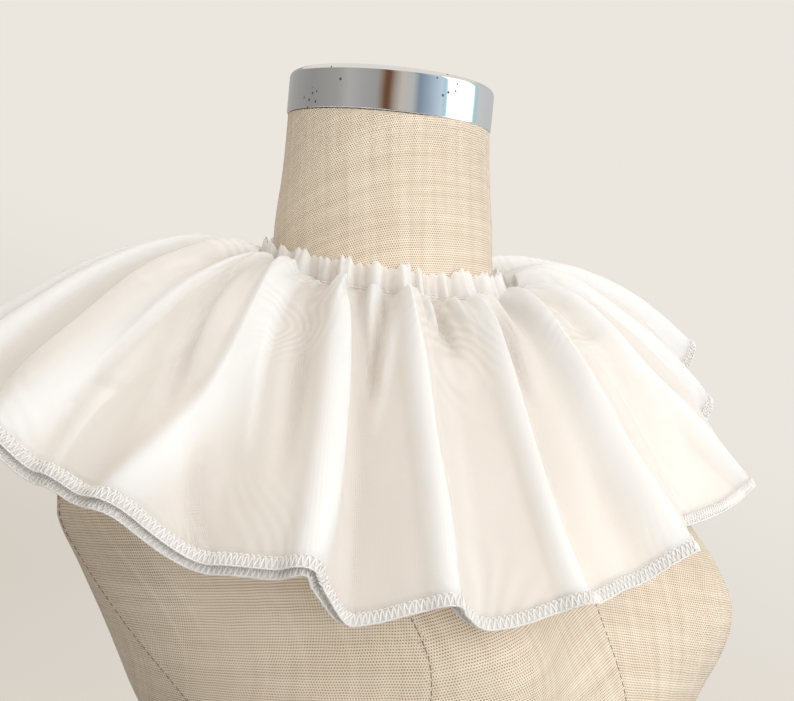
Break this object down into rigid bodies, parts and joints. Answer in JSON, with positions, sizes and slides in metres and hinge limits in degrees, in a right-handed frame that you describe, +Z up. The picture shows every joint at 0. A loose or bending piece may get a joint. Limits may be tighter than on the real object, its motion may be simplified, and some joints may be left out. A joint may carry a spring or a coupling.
{
  "type": "ruff collar on a dress form",
  "caption": "Sheer organza ruff collar, gathered at the neck into deep soft folds, worn by a limbless padded dress form that stands on its flat underside.",
  "frame": {"origin": "middle of the dress form's flat underside, straight below the middle of the neck ring", "axes": "+Z up; the form's front faces -Y and its right side faces -X"},
  "size_m": [0.4404, 0.3922, 0.5934],
  "materials": {
    "organza": "sheer plain-woven organza with a soft sheen",
    "overlock_thread": "matt spun polyester thread, overlocked",
    "linen": "natural plain-woven linen, pulled tight",
    "chrome": "polished, lightly worn"
  },
  "bodies": {
    "root": {"collar_upper": "organza", "collar_under": "organza", "gathered_heading": "organza", "edge_upper": "overlock_thread", "edge_under": "overlock_thread", "form_body": "linen", "neck_cap": "chrome"}
  },
  "joints": []
}
